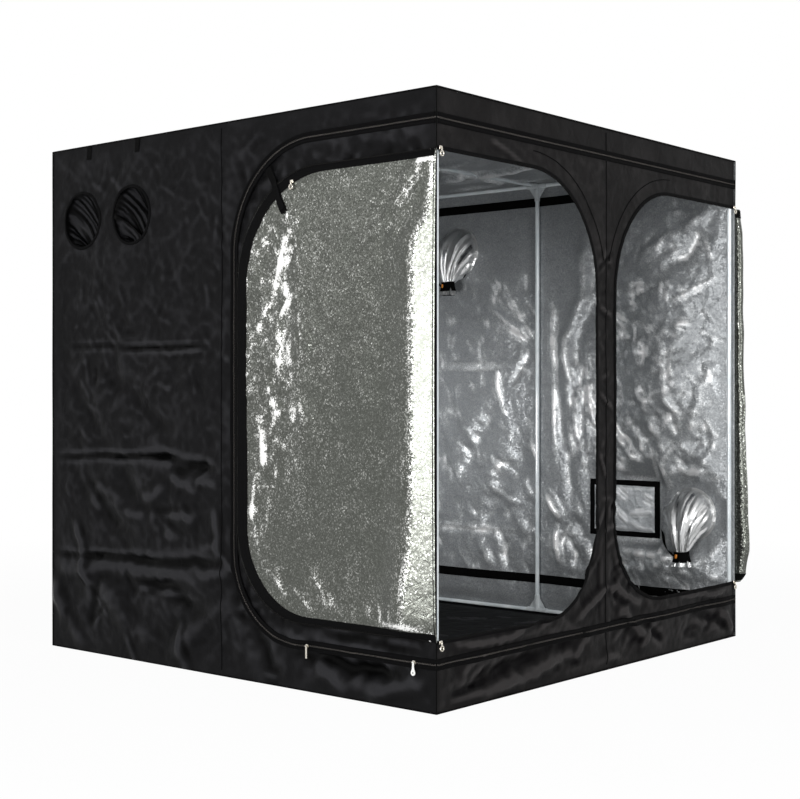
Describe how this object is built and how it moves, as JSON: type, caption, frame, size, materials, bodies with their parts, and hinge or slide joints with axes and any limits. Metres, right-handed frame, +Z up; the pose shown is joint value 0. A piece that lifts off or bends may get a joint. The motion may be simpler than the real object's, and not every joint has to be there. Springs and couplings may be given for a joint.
{
  "type": "indoor grow tent",
  "caption": "Square indoor grow tent: pole frame in moulded connectors, black outer cloth with silver lining, swinging door flaps, duct ports, vent window and spill tray.",
  "frame": {"origin": "middle of the underside of the floor panel, where the tent rests", "axes": "+Z up; -Y is the front wall with the two door openings; -X is the wall with the two high duct ports"},
  "size_m": [2.0606, 2.0041, 2],
  "materials": {
    "outer_cloth": "coated black oxford weave",
    "silver_film": "embossed reflective film",
    "webbing": "woven polypropylene",
    "pole": "white enamelled steel tube",
    "connector": "moulded nylon",
    "zip_tape": "nylon coil zip",
    "zip_metal": "nickelled zinc",
    "screen": "black insect mesh",
    "tray": "coated waterproof cloth"
  },
  "bodies": {
    "root": {"wall_left": "outer_cloth", "wall_right": "outer_cloth", "wall_front": "outer_cloth", "wall_back": "outer_cloth", "roof": "outer_cloth", "floor_panel": "outer_cloth", "spill_tray": "tray", "belt_top": "webbing", "belt_bottom": "webbing", "front_panel_zip": "zip_tape", "window_mesh": "screen", "duct_sock_rear": "outer_cloth", "duct_sock_fore": "outer_cloth", "duct_sock_inner": "outer_cloth", "duct_sock_low": "outer_cloth", "corner_upright_front_left": "pole", "corner_upright_front_right": "pole", "corner_upright_back_left": "pole", "corner_upright_back_right": "pole", "middle_upright_front": "pole", "middle_upright_back": "pole", "middle_upright_left": "pole", "middle_upright_right": "pole", "bottom_rail_front": "pole", "bottom_rail_back": "pole", "bottom_rail_left": "pole", "bottom_rail_right": "pole", "top_rail_front": "pole", "top_rail_back": "pole", "top_rail_left": "pole", "top_rail_right": "pole", "ceiling_pole_left": "pole", "ceiling_pole_right": "pole", "foot_corner_front_left": "connector", "foot_corner_front_right": "connector", "foot_corner_back_right": "connector", "foot_corner_back_left": "connector", "top_corner_front_left": "connector", "top_corner_front_right": "connector", "top_corner_back_right": "connector", "top_corner_back_left": "connector", "foot_tee_front": "connector", "foot_tee_right": "connector", "foot_tee_back": "connector", "foot_tee_left": "connector", "top_tee_front": "connector", "top_tee_right": "connector", "top_tee_back": "connector", "top_tee_left": "connector"},
    "left_door": {"door_flap_left": "silver_film", "tie_strap_left": "webbing"},
    "right_door": {"door_flap_right": "silver_film", "tie_strap_right": "webbing"},
    "window_flap": {"window_cover": "silver_film"},
    "rear_slider": {"zip_slider_rear": "zip_metal"},
    "rear_pull": {"pull_tab_rear": "zip_metal"},
    "front_slider": {"zip_slider_front": "zip_metal"},
    "front_pull": {"pull_tab_front": "zip_metal"}
  },
  "joints": [
    {"name": "left_door_swing", "type": "hinge", "parent": "root", "child": "left_door", "pos_m": [-0.998, -1.01, 1], "axis": [0, 0, 1], "range_deg": [0, 270]},
    {"name": "right_door_swing", "type": "hinge", "parent": "root", "child": "right_door", "pos_m": [0.998, -1.01, 1], "axis": [0, 0, -1], "range_deg": [0, 270]},
    {"name": "window_lift", "type": "hinge", "parent": "root", "child": "window_flap", "pos_m": [0.9954, -0.4625, 0.637], "axis": [0, 1, 0], "range_deg": [0, 150]},
    {"name": "rear_slide", "type": "slide", "parent": "root", "child": "rear_slider", "axis": [0, 1, 0], "range_m": [-0.2, 0]},
    {"name": "rear_pull_lift", "type": "hinge", "parent": "rear_slider", "child": "rear_pull", "pos_m": [-1.00886, -0.434, 0.156], "axis": [0, 1, 0], "range_deg": [0, 150]},
    {"name": "front_slide", "type": "slide", "parent": "root", "child": "front_slider", "axis": [0, 1, 0], "range_m": [0, 0.2]},
    {"name": "front_pull_lift", "type": "hinge", "parent": "front_slider", "child": "front_pull", "pos_m": [-1.00886, -0.91, 0.156], "axis": [0, 1, 0], "range_deg": [0, 150]}
  ]
}
